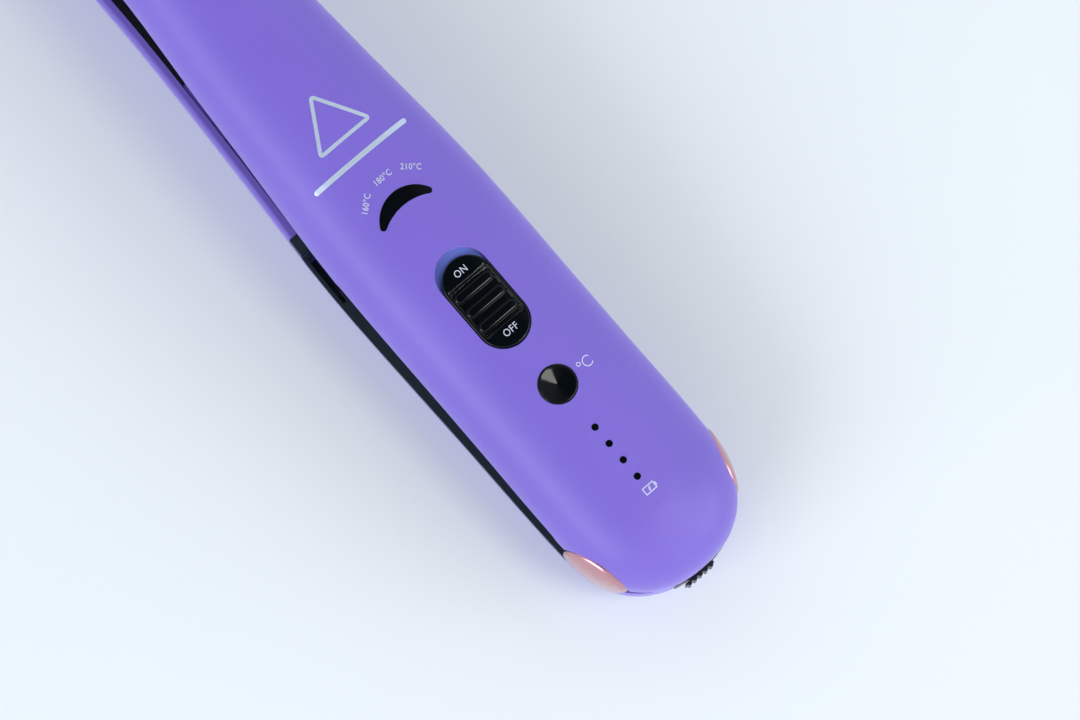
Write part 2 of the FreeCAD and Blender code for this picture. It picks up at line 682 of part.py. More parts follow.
def lower_inner_shell():
    form = lower_form()
    space = arm_form(DOWN, LOWER_WALL + 0.05, foot=-1.0)
    skin = form.cut(arm_form(DOWN, LOWER_WALL + 0.1, foot=-1.0))
    skirt = skin.common(prism_along_y(skirt_outline(0.04))).common(box(0, 100, -40, 40, -30, -LEDGE))
    tab = skin.common(box(WELL_END, WELL_END + TAB_LENGTH - 0.04, -30, 30, -2.86, -RIM - 0.02))
    beside_well = box(WELL_START - 1.5, WELL_END - 0.9, -30, 30, WELL_SKIN - SKIRT_BOTTOM, 0)
    skirt = fuse([skirt.cut(beside_well.common(arm_form(DOWN, WELL_SKIN, foot=-1.0))), tab])
    skirt = skirt.cut(rod_y(CAP_RADIUS + 0.05, -30, 30))
    wide = arm_form(DOWN, LOWER_WALL - 0.3, foot=-1.0)
    ledge = box(7.6, WELL_START + 1.0, -30, 30, -LEDGE - 1.2, -LEDGE).common(wide)
    ledge = ledge.cut(rod_y(CAP_RADIUS + 0.05, 12, 30)).cut(rod_y(CAP_RADIUS + 0.05, -30, -12))
    corner = Part.makePolygon([vec(WELL_START - 3.0, 20.1, -9), vec(WELL_START + 3.4, 15.7, -9),
                               vec(WELL_START + 3.4, 20.1, -9), vec(WELL_START - 3.0, 20.1, -9)])
    chamfer = Part.Face(corner).extrude(vec(0, 0, 9)).common(arm_form(DOWN, LOWER_WALL, foot=-1.0))
    hump = arch(HUMP_RADIUS, HUMP_START, HUMP_END, -LEDGE - 1.2)
    well = [
        box(WELL_START, WELL_END + 1.0, -30, 30, -WELL_FLOOR - 1.0, -WELL_FLOOR),
        box(WELL_START, WELL_START + 1.0, -30, 30, -WELL_FLOOR - 1.0, -LEDGE),
        box(WELL_END, WELL_END + 1.0, -30, 30, -WELL_FLOOR - 1.0, -NECK_PLATE[0]),
    ]
    well = [piece.common(space) for piece in well]
    ear = fuse([rod_y(EAR_RADIUS, EAR_INNER, EAR_OUTER),
                box(-EAR_RADIUS, 9.0, EAR_INNER, EAR_OUTER, -9.0, -LEDGE).common(space)])
    whole = fuse([skirt, ledge.cut(fuse(both_sides(chamfer))), hump] + well + both_sides(ear))
    cell_room = rod_x(CELL_RADIUS + HUMP_GAP, HUMP_START + HUMP_WALL, HUMP_END - HUMP_WALL, 0, CELL_Z)
    cuts = [cell_room, rod_y(PIN_RADIUS + 0.01, -20, 20)]
    cuts += [countersink(x, y, -z - SCREW_SUNK, DOWN) for x, y, z in LOWER_SCREWS]
    return whole.cut(cuts)


def lower_neck_cover():
    """Plate over the neck of the lower arm, between the well and the plate frame."""
    slab = box(WELL_END + 1.0 + FIT, FRAME_START - 0.1, -30, 30, -NECK_PLATE[1], -NECK_PLATE[0])
    cover = slab.common(arm_form(DOWN, LOWER_WALL + 0.15, foot=-1.0))
    return cover.cut([countersink(x, y, -z - SCREW_SUNK, DOWN) for x, y, z in LOWER_SCREWS])


def hinge_cap():
    """Disc over the hinge whose domed face follows the plan outline and stands slightly proud of it."""
    rear = LOWER_REAR_LENGTH + CAP_PROUD
    wires = []
    for x in CAP_STATIONS:
        half_width = (half_width_at(x) + CAP_PROUD) * end_factor(x, rear, TIP_LENGTH, SIDE_POWER)
        top = section_arch(x, half_width, crown_at(x) + CAP_PROUD, UP)
        bottom = section_arch(x, half_width, belly_at(x) + CAP_PROUD, DOWN)
        bottom.reverse()
        wires.append(Part.Wire([top, bottom]))
    form = Part.makeLoft(wires, True, False)
    return rod_y(CAP_RADIUS, EAR_OUTER, 30).common(form)


def section_arch(x, half_width, height, side):
    """Half of a cap form's cross-section, from one side to the other."""
    points = [vec(x, half_width * across, side * height * upward) for across, upward in unit_arch(side)]
    points[0] = vec(x, half_width, 0)
    points[-1] = vec(x, -half_width, 0)
    return smooth_arch(points, side)


def hinge_pin():
    return rod_y(PIN_RADIUS, -EAR_OUTER + 0.1, EAR_OUTER - 0.1)


def battery_cell():
    end = CELL_START + CELL_LENGTH
    body = rod_x(CELL_RADIUS, CELL_START, end - 1.2, 0, CELL_Z)
    body = body.makeFillet(0.6, [e for e in body.Edges if e.BoundBox.XLength < 1e-6])
    nub = rod_x(3.0, end - 1.4, end, 0, CELL_Z)
    return fuse([body, nub])


def battery_contacts():
    rear = box(CELL_START - 0.6, CELL_START - 0.05, -4.0, 4.0, CELL_Z - 6.0, CELL_Z + 5.0)
    end = CELL_START + CELL_LENGTH
    front = box(end + 0.05, end + 0.6, -4.0, 4.0, CELL_Z - 6.0, CELL_Z + 5.0)
    return group([rear, front])


def arm_spring():
    """Torsion spring round the hinge pin, with a leg towards each arm behind the hinge."""
    wire = 0.5
    mean = 3.6
    turns = 9.5
    pitch = 1.15
    leg = 6.5
    helix = Part.makeHelix(pitch, turns * pitch, mean)
    helix.rotate(vec(0, 0, 0), vec(1, 0, 0), -90)
    helix.rotate(vec(0, 0, 0), vec(0, 1, 0), 90)
    helix.translate(vec(0, -turns * pitch / 2, 0))
    first_edge = helix.Edges[0]
    last_edge = helix.Edges[-1]
    first = first_edge.valueAt(first_edge.FirstParameter)
    last = last_edge.valueAt(last_edge.LastParameter)
    profile = Part.Wire([Part.Circle(first, first_edge.tangentAt(first_edge.FirstParameter), wire).toShape()])
    coil = Part.Wire(helix.Edges).makePipeShell([profile], True, True)
    legs = [Part.makeCylinder(wire, leg, end, vec(-1, 0, 0.3 * math.copysign(1, end.z))) for end in (first, last)]
    return fuse([coil] + legs)


def lock_track():
    room = box(-20, -TRACK_FRONT, -LOCK_HALF_WIDTH, LOCK_HALF_WIDTH, -LOCK_BOTTOM, -REAR_RIM - FIT)
    block = arm_form(DOWN, -TRACK_PROUD).common(room)
    reach = 2.5 + LOCK_TRAVEL / 2 + 0.15
    slot = box(-20, -5, LOCK_MIDDLE - reach, LOCK_MIDDLE + reach, -5.0, -3.2)
    return block.cut(slot)


def lock_slider():
    """Ribbed knob outside the track, a stem through its slot and a foot behind it."""
    y = LOCK_MIDDLE + LOCK_TRAVEL / 2
    half = LOCK_KNOB_WIDTH / 2
    back = -LOCK_FACE - LOCK_PLATE
    knob = box(back, -LOCK_FACE, y - half, y + half, -5.9, -2.5)
    ribs = []
    for n in range(LOCK_RIBS):
        place = y + (n - (LOCK_RIBS - 1) / 2) * LOCK_RIB_PITCH
        ribs.append(rod_z(LOCK_RIB_RADIUS, -5.9, -2.5, back, place))
    foot_back = -TRACK_FRONT + 0.15
    stem = box(-LOCK_FACE, foot_back + 0.4, y - 2.5, y + 2.5, -4.9, -3.3)
    foot = box(foot_back, foot_back + 0.8, y - 3.4, y + 3.4, -5.8, -2.4)
    return fuse([knob, stem, foot] + ribs)


def charge_port():
    shell = port_hole(0.0, PORT_MOUTH, PORT_MOUTH + PORT_DEPTH)
    return shell.cut(port_hole(-0.3, PORT_MOUTH - 1.0, PORT_MOUTH + PORT_DEPTH - 0.4))


def charge_port_tongue():
    return box(PORT_MOUTH + 0.7, PORT_MOUTH + PORT_DEPTH - 0.4, -3.2, 3.2, PORT_Z - 0.35, PORT_Z + 0.35)


def charge_board():
    top = PORT_Z - PORT_SIZE[1] / 2 - 0.1
    return box(PORT_MOUTH + 5.3, PORT_MOUTH + 18.8, -5.0, 5.0, top - 0.8, top)


def lower_wires():
    leads = []
    for y in (-3.0, 3.0):
        path = [(80.5, y, -10.2), (100.0, y, -10.2), (126.0, y, -6.6), (146.0, y, -6.6)]
        leads.append(lead(path, 0.6, 10.0))
    return group(leads)


# --- assembly -----------------------------------------------------------------------------------------

LOWER_ARM = {
    "lower_shell": lower_shell,
    "lower_inner_shell": lower_inner_shell,
    "lower_neck_cover": lower_neck_cover,
    "battery_cell": battery_cell,
    "battery_contacts": battery_contacts,
    "lower_plate": lambda: plate(DOWN),
    "lower_plate_frame": lambda: plate_frame(DOWN),
    "lower_heater": lambda: heater(DOWN),
    "lower_insulator": lambda: insulator(DOWN),
    "charge_port": charge_port,
    "charge_port_tongue": charge_port_tongue,
    "charge_board": charge_board,
    "hinge_pin": hinge_pin,
    "hinge_cap_left": hinge_cap,
    "hinge_cap_right": lambda: mirrored(hinge_cap()),
    "arm_spring": arm_spring,
    "lock_track": lock_track,
    "lock_slider": lock_slider,
    "lower_screws": lambda: group([screw(x, y, -z - SCREW_SUNK, DOWN) for x, y, z in LOWER_SCREWS]),
    "lower_wires": lower_wires,
}

UPPER_ARM = {
    "upper_shell": upper_shell,
    "upper_inner_shell": upper_inner_shell,
    "hinge_bushes": hinge_bushes,
    "upper_plate": lambda: plate(UP),
    "upper_plate_frame": lambda: plate_frame(UP),
    "upper_heater": lambda: heater(UP),
    "upper_insulator": lambda: insulator(UP),
    "plate_stops": plate_stops,
    "control_board": control_board,
    "slide_switch": slide_switch,
    "power_slider": power_slider,
    "temp_button": temp_button,
    "tactile_switch": tactile_switch,
    "temperature_window": temperature_window,
    "temperature_leds": temperature_leds,
    "battery_light_pipes": battery_light_pipes,
    "battery_leds": battery_leds,
    "upper_screws": lambda: group([screw(x, y, NECK_PLATE[0] + SCREW_SUNK, UP) for x, y in UPPER_SCREWS]),
    "thermal_fuse": thermal_fuse,
    "upper_wires": upper_wires,
}


def write(node, shape):
    valid = shape.isValid() and all(solid.isClosed() for solid in shape.Solids)
    print(f"{node:22s} solids {len(shape.Solids)}  volume {shape.Volume:10.1f}  valid {valid}")
    shape.exportStep(os.path.join("parts", node + ".step"))


def main():
    os.makedirs("parts", exist_ok=True)
    hinge_to_world = vec(0, 0, PIVOT_HEIGHT)
    for node, make in LOWER_ARM.items():
        shape = make()
        shape.translate(hinge_to_world)
        write(node, shape)
    for node, make in UPPER_ARM.items():
        shape = make()
        shape.rotate(vec(0, 0, 0), vec(0, 1, 0), -OPEN_ANGLE)
        shape.translate(hinge_to_world)
        write(node, shape)


main()
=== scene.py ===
import math

import bmesh
import bpy
from mathutils import Matrix, Vector
from mathutils.bvhtree import BVHTree


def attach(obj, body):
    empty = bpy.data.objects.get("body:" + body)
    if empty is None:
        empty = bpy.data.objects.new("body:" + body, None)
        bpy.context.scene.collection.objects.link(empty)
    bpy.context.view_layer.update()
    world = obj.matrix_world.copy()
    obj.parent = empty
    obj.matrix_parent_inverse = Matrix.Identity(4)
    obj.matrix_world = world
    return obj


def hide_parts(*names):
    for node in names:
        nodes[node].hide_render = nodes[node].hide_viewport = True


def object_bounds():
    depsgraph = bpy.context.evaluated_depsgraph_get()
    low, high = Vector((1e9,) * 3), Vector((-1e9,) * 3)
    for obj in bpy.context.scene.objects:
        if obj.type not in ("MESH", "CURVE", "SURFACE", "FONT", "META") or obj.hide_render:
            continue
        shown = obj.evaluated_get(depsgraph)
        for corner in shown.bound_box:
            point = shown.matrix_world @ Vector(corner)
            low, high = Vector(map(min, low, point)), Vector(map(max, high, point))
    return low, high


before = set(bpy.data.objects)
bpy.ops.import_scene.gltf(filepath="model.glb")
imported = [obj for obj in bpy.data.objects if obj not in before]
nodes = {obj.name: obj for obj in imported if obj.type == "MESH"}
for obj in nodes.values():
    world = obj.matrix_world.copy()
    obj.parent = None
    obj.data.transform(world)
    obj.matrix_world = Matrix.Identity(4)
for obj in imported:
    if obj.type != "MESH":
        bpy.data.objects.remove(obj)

cad_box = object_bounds()

# The looks of a cordless flat iron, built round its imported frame.
# Places on the upper arm are given in millimetres in the arm's own directions: x from the hinge
# towards the tip, y to the left-hand side, z up from the middle plane with the arms closed.

MM = 0.001
HINGE = Vector((0.0, 0.0, 0.016))
ARM_TILT = math.radians(7.0)          # the upper arm stands open by this angle at rest
ARM_TO_WORLD = Matrix.Translation(HINGE) @ Matrix.Rotation(-ARM_TILT, 4, "Y") @ Matrix.Scale(MM, 4)

CROWN_HEIGHT = 14.0                   # of the upper arm over the grip
HALF_WIDTH = 19.1
SIDE_POWER = 2.3                      # exponent of the cross-section's superellipse
RIM = 0.4
CONTROL_PROUD = 0.1                   # height of the slider and the button above the crown
RAY_START = 40.0                      # height above the arm from which its surface is felt

CAP_RADIUS = 7.2
CAP_INNER_Y = 13.0
CAP_EDGE_ROUND = 0.7
CAP_INSET = 0.03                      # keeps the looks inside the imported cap's edge
CAP_RAY_START = 60.0
CAP_LEAST_HEIGHT = 0.05

SWITCH_X = 55.2                       # middle of the power slider when it is off
KNOB_LENGTH = 21.2
KNOB_WIDTH = 11.2
KNOB_BOTTOM = 12.5
KNOB_EDGE_ROUND = 0.32
BUTTON_X = 33.3
BUTTON_RADIUS = 4.0
BUTTON_BOTTOM = 11.8
BUTTON_RIM_ROUND = 0.3
BUTTON_DISH = 0.7
RECESS_X = 56.1                       # middle of the slider's recess
RECESS_LENGTH = 23.6
RECESS_WIDTH = 11.6
RECESS_FLOOR = 12.4
# skin in the slider's recess whose bluish colour is a painted reflection over the purple floor
PAINTED_REFLECTION_INSET = 0.02
PAINTED_REFLECTION_SUNK = 0.02
PAINTED_REFLECTION_PROUD = 0.04
PRINT_PROUD = 0.035                   # height of printed ink above the plastic
LETTER_SQUEEZE = 0.88                 # the lettering is narrow
LETTER_SPACING = 1.08
READING_TURN = -90.0                  # degrees; the lettering reads along -Y
CORNER_STEPS = 6
ROUND_END_STEPS = 8
SHARPEST_CORNER = 0.35                # limits how far a stroke reaches out at a corner

FACTOR_LOW = 0.3                      # the part of the noise's range that is spread over a finish
FACTOR_HIGH = 0.7

WALL_COLOUR = (0.78, 0.85, 0.95, 1.0)
CEILING_COLOUR = (0.02, 0.03, 0.04, 1.0)
WALL_TOP = 0.72                       # places on the world's gradient from floor to zenith
CEILING_START = 0.96

FLOOR_HALF_SIZE = 6.0
FLOOR_DROP = 0.00002                  # metres below the iron, so that the two don't flicker


# --- materials ------------------------------------------------------------------------------------

def new_material(name):
    material = bpy.data.materials.new(name)
    material.use_nodes = True
    tree = material.node_tree
    shader = tree.nodes["Principled BSDF"]
    return material, tree, shader


def noise(tree, scale, detail=3.0, roughness=0.5, stretch=None):
    """Noise in object space; the scale is in features per metre."""
    coordinates = tree.nodes.new("ShaderNodeTexCoord")
    texture = tree.nodes.new("ShaderNodeTexNoise")
    texture.inputs["Scale"].default_value = scale
    texture.inputs["Detail"].default_value = detail
    texture.inputs["Roughness"].default_value = roughness
    if stretch:
        mapping = tree.nodes.new("ShaderNodeMapping")
        mapping.inputs["Scale"].default_value = stretch
        tree.links.new(coordinates.outputs["Object"], mapping.inputs["Vector"])
        tree.links.new(mapping.outputs["Vector"], texture.inputs["Vector"])
    else:
        tree.links.new(coordinates.outputs["Object"], texture.inputs["Vector"])
    return texture.outputs["Fac"]


def vary_colour(tree, shader, factor, colour, spread):
    """Base colour that drifts between a slightly darker and a slightly lighter tone."""
    ramp = tree.nodes.new("ShaderNodeValToRGB")
    ramp.color_ramp.elements[0].position = FACTOR_LOW
    ramp.color_ramp.elements[1].position = FACTOR_HIGH
    ramp.color_ramp.elements[0].color = [c * (1 - spread) for c in colour] + [1]
    ramp.color_ramp.elements[1].color = [min(1, c * (1 + spread)) for c in colour] + [1]
    tree.links.new(factor, ramp.inputs["Fac"])
    tree.links.new(ramp.outputs["Color"], shader.inputs["Base Color"])


def vary_roughness(tree, shader, factor, low, high):
    spread = tree.nodes.new("ShaderNodeMapRange")
    spread.inputs["From Min"].default_value = FACTOR_LOW
    spread.inputs["From Max"].default_value = FACTOR_HIGH
    spread.inputs["To Min"].default_value = low
    spread.inputs["To Max"].default_value = high
    tree.links.new(factor, spread.inputs["Value"])
    tree.links.new(spread.outputs["Result"], shader.inputs["Roughness"])


def add_bump(tree, shader, factor, height):
    """Surface relief of the given height in millimetres."""
    bump = tree.nodes.new("ShaderNodeBump")
    bump.inputs["Strength"].default_value = 1.0
    bump.inputs["Distance"].default_value = height * MM
    tree.links.new(factor, bump.inputs["Height"])
    tree.links.new(bump.outputs["Normal"], shader.inputs["Normal"])


def surface(name, colour, roughness, spread=0.04, rough_spread=0.04, patch=60.0, grain=3500.0,
            relief=0.004, metallic=0.0, stretch=None, **sockets):
    """Procedural finish: broad colour patches, uneven gloss and a fine grain."""
    material, tree, shader = new_material(name)
    broad = noise(tree, patch, 4.0)
    fine = noise(tree, grain, 2.0, 0.6, stretch)
    vary_colour(tree, shader, broad, colour, spread)
    vary_roughness(tree, shader, fine, roughness - rough_spread, roughness + rough_spread)
    if relief:
        add_bump(tree, shader, fine, relief)
    shader.inputs["Metallic"].default_value = metallic
    for socket, value in sockets.items():
        shader.inputs[socket.replace("_", " ")].default_value = value
    return material


def soft_touch_purple():
    material = surface("purple_shell", (0.196, 0.126, 0.575), 0.44, spread=0.025, rough_spread=0.03,
                       patch=35.0, grain=5200.0, relief=0.0025)
    shader = material.node_tree.nodes["Principled BSDF"]
    shader.inputs["Sheen Weight"].default_value = 0.42
    shader.inputs["Sheen Roughness"].default_value = 0.45
    shader.inputs["Sheen Tint"].default_value = (0.62, 0.60, 1.0, 1.0)
    shader.inputs["Specular IOR Level"].default_value = 0.4
    return material


def rose_gold_lacquer():
    """Metal flakes under clear lacquer."""
    material = surface("rose_gold", (0.60, 0.29, 0.32), 0.24, spread=0.10, rough_spread=0.07,
                       patch=7000.0, grain=9000.0, relief=0.0012, metallic=0.9)
    shader = material.node_tree.nodes["Principled BSDF"]
    shader.inputs["Coat Weight"].default_value = 0.5
    shader.inputs["Coat Roughness"].default_value = 0.12
    return material


def board_green():
    """Solder resist with paler tracks under it."""
    material, tree, shader = new_material("board_green")
    coordinates = tree.nodes.new("ShaderNodeTexCoord")
    bricks = tree.nodes.new("ShaderNodeTexBrick")
    bricks.inputs["Scale"].default_value = 260.0
    bricks.inputs["Mortar Size"].default_value = 0.03
    bricks.inputs["Color1"].default_value = (0.018, 0.13, 0.05, 1)
    bricks.inputs["Color2"].default_value = (0.022, 0.16, 0.06, 1)
    bricks.inputs["Mortar"].default_value = (0.05, 0.27, 0.11, 1)
    tree.links.new(coordinates.outputs["Object"], bricks.inputs["Vector"])
    tree.links.new(bricks.outputs["Color"], shader.inputs["Base Color"])
    vary_roughness(tree, shader, noise(tree, 900.0), 0.28, 0.4)
    add_bump(tree, shader, noise(tree, 2600.0), 0.006)
    return material


def make_materials():
    return {
        "purple_shell": soft_touch_purple(),
        "rose_gold": rose_gold_lacquer(),
        "board_green": board_green(),
        "dark_shell": surface("dark_shell", (0.019, 0.029, 0.040), 0.40, grain=2600.0, relief=0.008),
        "black_plastic": surface("black_plastic", (0.005, 0.006, 0.008), 0.30, grain=3000.0, relief=0.005),
        "black_gloss": surface("black_gloss", (0.002, 0.003, 0.004), 0.09, rough_spread=0.02, grain=400.0,
                               relief=0.0, Specular_IOR_Level=0.28),
        "plate_coating": surface("plate_coating", (0.16, 0.17, 0.18), 0.24, grain=4000.0, relief=0.001,
                                 metallic=0.6, stretch=(0.05, 1.0, 1.0)),
        "steel": surface("steel", (0.50, 0.50, 0.51), 0.28, grain=3000.0, relief=0.001, metallic=1.0,
                         stretch=(1.0, 0.08, 1.0)),
        "nickel": surface("nickel", (0.62, 0.60, 0.56), 0.22, grain=2000.0, relief=0.001, metallic=1.0),
        "brass": surface("brass", (0.68, 0.47, 0.19), 0.30, grain=5000.0, relief=0.002, metallic=1.0,
                         stretch=(1.0, 0.05, 1.0)),
        "screw_black": surface("screw_black", (0.022, 0.022, 0.024), 0.38, grain=5000.0, relief=0.002,
                               metallic=0.8),
        "ceramic": surface("ceramic", (0.74, 0.71, 0.64), 0.55, grain=6000.0, relief=0.006),
        "carrier_plastic": surface("carrier_plastic", (0.33, 0.25, 0.15), 0.48, grain=2500.0, relief=0.008),
        "silicone": surface("silicone", (0.46, 0.46, 0.44), 0.6, grain=4000.0, relief=0.004),
        "cell_wrap": surface("cell_wrap", (0.03, 0.20, 0.15), 0.25, grain=300.0, relief=0.02),
        "lamp_white": surface("lamp_white", (0.80, 0.79, 0.72), 0.18, grain=1500.0, relief=0.002),
        "wire_red": surface("wire_red", (0.38, 0.02, 0.015), 0.42, grain=2500.0, relief=0.004),
        # painted reflection: the recess floor's purple with the bright surroundings' reflection painted in,
        # which makes it bluer
        "recess_lining": surface("recess_lining", (0.17, 0.22, 0.66), 0.22, grain=900.0, relief=0.002),
        "print_silver": surface("print_silver", (0.58, 0.66, 0.80), 0.34, grain=6000.0, relief=0.002,
                                metallic=0.3),
        "print_white": surface("print_white", (0.66, 0.66, 0.80), 0.40, grain=6000.0, relief=0.002),
        "print_pale": surface("print_pale", (0.55, 0.58, 0.70), 0.40, grain=6000.0, relief=0.002),
    }


materials = make_materials()


def finish_cad_nodes():
    """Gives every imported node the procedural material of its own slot."""
    for node in nodes.values():
        for place in node.material_slots:
            place.material = materials[place.material.name.split(".")[0]]


# --- mesh helpers -----------------------------------------------------------------------------------

def mesh_object(name, build, material, smooth=True):
    """New piece from a function that fills a bmesh in metres."""
    mesh = bpy.data.meshes.new(name)
    form = bmesh.new()
    build(form)
    bmesh.ops.remove_doubles(form, verts=form.verts, dist=1e-7)
    bmesh.ops.recalc_face_normals(form, faces=form.faces)
    form.to_mesh(mesh)
    form.free()
    for polygon in mesh.polygons:
        polygon.use_smooth = smooth
    piece = bpy.data.objects.new(name, mesh)
    bpy.context.scene.collection.objects.link(piece)
    piece.data.materials.append(materials[material])
    return piece


def join_rings(form, rings):
    """Quads between neighbouring closed rings of points, which all have the same count."""
    placed = [[form.verts.new(point) for point in ring] for ring in rings]
    for lower, upper in zip(placed, placed[1:]):
        count = len(lower)
        for i in range(count):
            j = (i + 1) % count
            form.faces.new((lower[i], lower[j], upper[j], upper[i]))
    return placed


def tree_of(node):
    """Ray-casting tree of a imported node, in the row frame."""
    mesh = nodes[node].data
    return BVHTree.FromPolygons([v.co for v in mesh.vertices], [p.vertices for p in mesh.polygons])


shell_tree = tree_of("upper_shell")


def on_shell(x, y, lift=0.0, tree=None):
    """Point of the upper arm's outside above the arm's place (x, y), in the row frame."""
    start = ARM_TO_WORLD @ Vector((x, y, RAY_START))
    down = (ARM_TO_WORLD.to_3x3() @ Vector((0, 0, -1))).normalized()
    hit = (tree or shell_tree).ray_cast(start, down)[0]
    if hit is None:
        raise ValueError(f"nothing under the print at {x}, {y}")
    return hit - down * lift * MM


# --- printed marks ------------------------------------------------------------------------------------

def ink(name, flat, material, body="upper_arm", tree=None):
    """Turns a flat bmesh, drawn in arm millimetres, into a thin skin of ink that lies on the surface."""
    def build(form):
        top = [on_shell(v.co.x, v.co.y, PRINT_PROUD, tree) for v in flat.verts]
        bottom = [on_shell(v.co.x, v.co.y, -PRINT_PROUD / 2, tree) for v in flat.verts]
        upper = [form.verts.new(p) for p in top]
        lower = [form.verts.new(p) for p in bottom]
        flat.verts.index_update()
        for face in flat.faces:
            form.faces.new([upper[v.index] for v in face.verts])
        for edge in flat.edges:
            if len(edge.link_faces) == 1:
                a, b = (v.index for v in edge.verts)
                form.faces.new((upper[a], upper[b], lower[b], lower[a]))

    piece = mesh_object(name, build, material, smooth=False)
    flat.free()
    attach(piece, body)
    return piece


def stroke(points, width, closed=False, step=0.4):
    """Flat band of even width along a line through the points, with round ends."""
    line = []
    ends = list(zip(points, points[1:] + points[:1])) if closed else list(zip(points, points[1:]))
    for a, b in ends:
        a, b = Vector(a), Vector(b)
        count = max(1, round((b - a).length / step))
        line += [a.lerp(b, k / count) for k in range(count)]
    if not closed:
        line.append(Vector(points[-1]))
    form = bmesh.new()
    half = width / 2
    rows = []
    count = len(line)
    for i, point in enumerate(line):
        before = line[i - 1] if (i > 0 or closed) else point
        after = line[(i + 1) % count] if (i < count - 1 or closed) else point
        into = (point - before).normalized() if (point - before).length > 0 else (after - point).normalized()
        out = (after - point).normalized() if (after - point).length > 0 else into
        along = (into + out).normalized()
        across = Vector((-along.y, along.x))
        reach = half / max(SHARPEST_CORNER, across.dot(Vector((-out.y, out.x))))
        rows.append((form.verts.new((*(point + across * reach), 0)),
                     form.verts.new((*(point - across * reach), 0))))
    pairs = list(zip(rows, rows[1:])) + ([(rows[-1], rows[0])] if closed else [])
    for (a, b), (c, d) in pairs:
        form.faces.new((a, b, d, c))
    if not closed:
        for (a, b), centre, sign in ((rows[0], line[0], 1), (rows[-1], line[-1], -1)):
            start = math.atan2(a.co.y - centre.y, a.co.x - centre.x)
            turns = [start + sign * math.pi * k / ROUND_END_STEPS for k in range(1, ROUND_END_STEPS)]
            fan = [form.verts.new((centre.x + half * math.cos(turn), centre.y + half * math.sin(turn), 0))
                   for turn in turns]
            form.faces.new([a] + fan + [b])
    bmesh.ops.recalc_face_normals(form, faces=form.faces)
    return form


def rounded(points, radius):
    """Closed outline through the points with its corners softened."""
    outline = []
    for before, corner, after in zip(points[-1:] + points[:-1], points, points[1:] + points[:1]):
        corner = Vector(corner)
        first = corner + (Vector(before) - corner).normalized() * radius
        last = corner + (Vector(after) - corner).normalized() * radius
        for k in range(CORNER_STEPS + 1):
            share = k / CORNER_STEPS
            outline.append(tuple(first.lerp(corner, share).lerp(corner.lerp(last, share), share)))
    return outline


def lettering(text, size, x, y, turn=0.0, weight=0.0):
    """Flat letters whose reading direction is -Y and whose tops point to the tip, centred on (x, y)."""
    curve = bpy.data.curves.new("letters", "FONT")
    curve.body = text
    curve.size = size
    curve.offset = weight
    curve.space_character = LETTER_SPACING
    curve.align_x = "CENTER"
    curve.align_y = "CENTER"
    curve.resolution_u = 6
    holder = bpy.data.objects.new("letters", curve)
    bpy.context.scene.collection.objects.link(holder)
    bpy.context.view_layer.update()
    mesh = bpy.data.meshes.new_from_object(holder)
    bpy.data.objects.remove(holder)
    form = bmesh.new()
    form.from_mesh(mesh)
    bpy.data.meshes.remove(mesh)
    place = Matrix.Translation((x, y, 0)) @ Matrix.Rotation(math.radians(READING_TURN) + turn, 4, "Z")
    form.transform(place @ Matrix.Diagonal((LETTER_SQUEEZE, 1.0, 1.0, 1.0)))
    return form


def ring_points(x, y, radius, count):
    turns = [2 * math.pi * k / count for k in range(count)]
    return [(x + radius * math.cos(a), y + radius * math.sin(a)) for a in turns]


def arc_points(x, y, radius, start, end, count=28):
    """Points along an arc; the angles are in degrees from the reading direction."""
    turns = [math.radians(READING_TURN + start + (end - start) * k / count) for k in range(count + 1)]
    return [(x + radius * math.cos(a), y + radius * math.sin(a)) for a in turns]


def add_prints():
    """Silver bar and triangle, temperature marks, button mark and battery mark."""
    ink("print_bar", stroke([(93.65, -11.65), (93.65, 11.3)], 1.1), "print_silver")
    triangle = rounded([(98.55, -6.6), (98.55, 6.2), (109.2, -0.2)], 0.9)
    ink("print_triangle", stroke(triangle, 0.8, closed=True), "print_silver")
    temperatures = (
        ("160", 85.45, 5.5, 41.0),
        ("180", 87.4, -0.45, 0.0),
        ("210", 85.5, -6.35, -39.0),
    )
    for text, x, y, turn in temperatures:
        ink("print_" + text, lettering(text + "°C", 1.8, x, y, math.radians(turn), 0.015), "print_pale")
    ink("print_degree", stroke(ring_points(33.65, -5.8, 0.4, 20), 0.16, closed=True, step=0.2), "print_white")
    ink("print_celsius", stroke(arc_points(33.05, -7.75, 1.08, 42.0, 318.0), 0.2, step=0.2), "print_white")
    battery = [(4.95, -1.6), (6.4, -1.6), (6.4, 1.0), (4.95, 1.0)]
    ink("print_battery", stroke(battery, 0.2, closed=True), "print_white")
    ink("print_battery_nub", stroke([(5.35, -1.9), (6.0, -1.9)], 0.22), "print_white")
    bolt = [(5.25, -0.15), (5.85, -0.55), (5.5, -0.05), (6.1, -0.45)]
    ink("print_bolt", stroke(bolt, 0.17, step=0.1), "print_white")


def add_slider_prints(knob):
    """The two switch positions, printed on the slider's ends."""
    mesh = knob.data
    top = BVHTree.FromPolygons([v.co for v in mesh.vertices], [p.vertices for p in mesh.polygons])
    for text, x in (("ON", 62.95), ("OFF", 47.65)):
        ink("print_" + text.lower(), lettering(text, 2.15, x, 0.05), "print_pale", body="power_slider",
            tree=top)


# --- controls -----------------------------------------------------------------------------------------

def crown(y):
    """Height of the upper arm's outside over the grip, y millimetres from the middle."""
    return RIM + (CROWN_HEIGHT - RIM) * (1 - abs(y / HALF_WIDTH) ** SIDE_POWER) ** (1 / SIDE_POWER)


def ease(value, reach):
    """Smooth rise from 0 to 1 as the value goes from 0 to its reach."""
    share = min(1.0, max(0.0, value / reach))
    return share * share * (3 - 2 * share)


